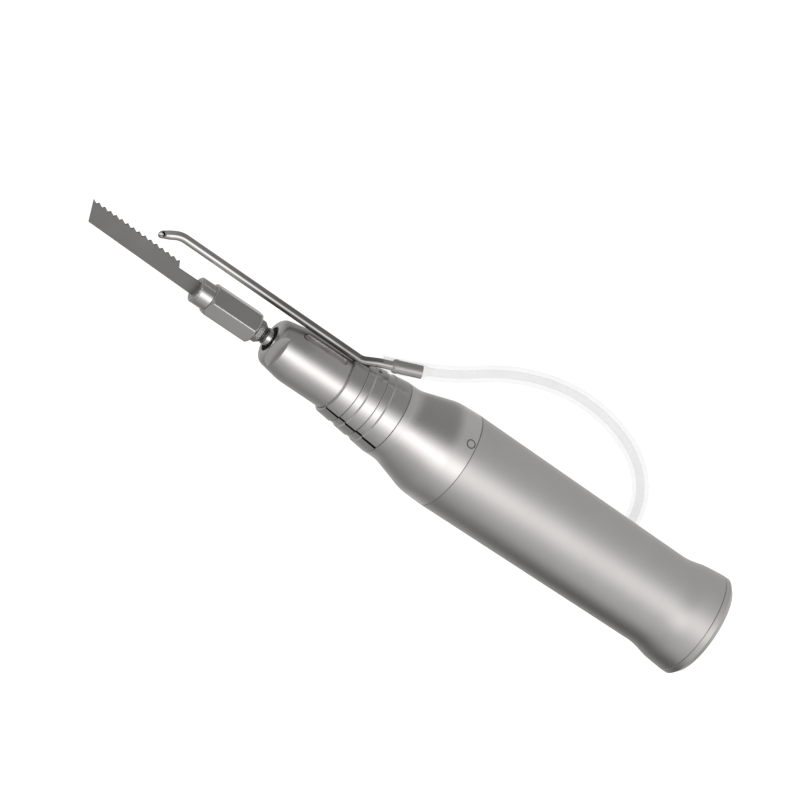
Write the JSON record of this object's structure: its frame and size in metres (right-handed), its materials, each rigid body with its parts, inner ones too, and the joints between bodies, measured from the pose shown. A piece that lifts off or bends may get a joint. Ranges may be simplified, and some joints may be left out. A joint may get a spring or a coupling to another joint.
{
  "type": "dental surgical handpiece",
  "caption": "Straight surgical handpiece with a reciprocating saw blade in a hex chuck, a clip-on irrigation nozzle and a short silicone hose, with its gear train and barrel cam inside.",
  "frame": {"origin": "centre of the motor coupling's mouth, at the rear end of the handpiece", "axes": "+X forward along the handpiece to the blade tip, +Z towards the irrigation nozzle's side, +Y towards the camera's side in the picture"},
  "size_m": [0.1491, 0.027, 0.0376],
  "materials": {
    "satin_steel": "fine bead-blasted satin",
    "clip_steel": "fine turned satin",
    "inner_steel": "turned",
    "gear_steel": "ground",
    "bearing_steel": "polished",
    "polished_steel": "polished",
    "chuck_steel": "fine turned",
    "dark_steel": "blackened, cross-cut",
    "blade_steel": "matt ground",
    "tube_steel": "drawn and polished",
    "bronze": "sintered",
    "black_rubber": "matt",
    "clear_silicone": "translucent, smooth"
  },
  "bodies": {
    "housing": {"end_ring": "satin_steel", "rear_sleeve": "satin_steel", "nose_housing": "satin_steel", "chassis_tube": "inner_steel", "guide_pin": "bearing_steel", "gear_spacer": "inner_steel", "bearing_shim": "inner_steel", "bearing_spacer": "inner_steel", "ring_gear": "gear_steel", "drive_bearing_outer": "bearing_steel", "cam_bearing_outer": "bearing_steel", "front_bush": "bronze", "shaft_seal": "black_rubber"},
    "drive": {"drive_shaft": "gear_steel", "sun_pinion": "gear_steel", "drive_dog": "gear_steel", "drive_bearing_inner": "bearing_steel"},
    "drive_rollers": {"drive_bearing_rollers": "bearing_steel"},
    "cam": {"planet_carrier": "gear_steel", "carrier_rear_plate": "gear_steel", "planet_pin_1": "bearing_steel", "planet_pin_2": "bearing_steel", "planet_pin_3": "bearing_steel", "cam_shaft": "gear_steel", "cam_bearing_inner": "bearing_steel"},
    "cam_rollers": {"cam_bearing_rollers": "bearing_steel"},
    "planet_1": {"planet_gear_1": "gear_steel"},
    "planet_2": {"planet_gear_2": "gear_steel"},
    "planet_3": {"planet_gear_3": "gear_steel"},
    "plunger": {"plunger": "polished_steel", "cam_follower": "bearing_steel", "chuck_body": "dark_steel", "blade_collet": "chuck_steel"},
    "nut": {"chuck_nut": "chuck_steel"},
    "blade": {"saw_blade": "blade_steel"},
    "clip": {"irrigation_clip": "clip_steel", "nozzle_tube": "tube_steel", "hose_barb": "tube_steel", "silicone_hose": "clear_silicone"}
  },
  "joints": [
    {"name": "cam_spin", "type": "hinge", "parent": "housing", "child": "cam", "pos_m": [0.0645, 0, 0], "axis": [1, 0, 0], "range_deg": [-80.05, 80.05]},
    {"name": "drive_spin", "type": "hinge", "parent": "housing", "child": "drive", "pos_m": [0.0225, 0, 0], "axis": [1, 0, 0], "range_deg": [-240.05, 240.05]},
    {"name": "drive_rollers_spin", "type": "hinge", "parent": "housing", "child": "drive_rollers", "pos_m": [0.0225, 0, 0], "axis": [1, 0, 0], "range_deg": [-90.58, 90.58]},
    {"name": "cam_rollers_spin", "type": "hinge", "parent": "housing", "child": "cam_rollers", "pos_m": [0.044, 0, 0], "axis": [1, 0, 0], "range_deg": [-32.12, 32.12]},
    {"name": "blade_stroke", "type": "slide", "parent": "housing", "child": "plunger", "axis": [1, 0, 0], "range_m": [-0.0009, 0.0009]},
    {"name": "chuck_nut_turn", "type": "hinge", "parent": "plunger", "child": "nut", "pos_m": [0.1152, 0, 0], "axis": [1, 0, 0], "range_deg": [0, 720]},
    {"name": "blade_release", "type": "slide", "parent": "plunger", "child": "blade", "axis": [1, 0, 0], "range_m": [0, 0.012]},
    {"name": "clip_slide", "type": "slide", "parent": "housing", "child": "clip", "axis": [1, 0, 0], "range_m": [0, 0.075]},
    {"name": "planet_1_spin", "type": "hinge", "parent": "cam", "child": "planet_1", "pos_m": [0.036, 0.00405, 0], "axis": [1, 0, 0], "range_deg": [-320.05, 320.05]},
    {"name": "planet_2_spin", "type": "hinge", "parent": "cam", "child": "planet_2", "pos_m": [0.036, -0.00202, 0.00351], "axis": [1, 0, 0], "range_deg": [-320.05, 320.05]},
    {"name": "planet_3_spin", "type": "hinge", "parent": "cam", "child": "planet_3", "pos_m": [0.036, -0.00202, -0.00351], "axis": [1, 0, 0], "range_deg": [-320.05, 320.05]}
  ],
  "couplings": [
    {"joint": "cam_spin", "follows": "blade_stroke", "rad_per_m": -1551.4},
    {"joint": "drive_spin", "follows": "blade_stroke", "rad_per_m": -4654.2},
    {"joint": "drive_rollers_spin", "follows": "blade_stroke", "rad_per_m": -1755.5},
    {"joint": "cam_rollers_spin", "follows": "blade_stroke", "rad_per_m": -621.93},
    {"joint": "planet_1_spin", "follows": "blade_stroke", "rad_per_m": 6205.6},
    {"joint": "planet_2_spin", "follows": "blade_stroke", "rad_per_m": 6205.6},
    {"joint": "planet_3_spin", "follows": "blade_stroke", "rad_per_m": 6205.6}
  ]
}
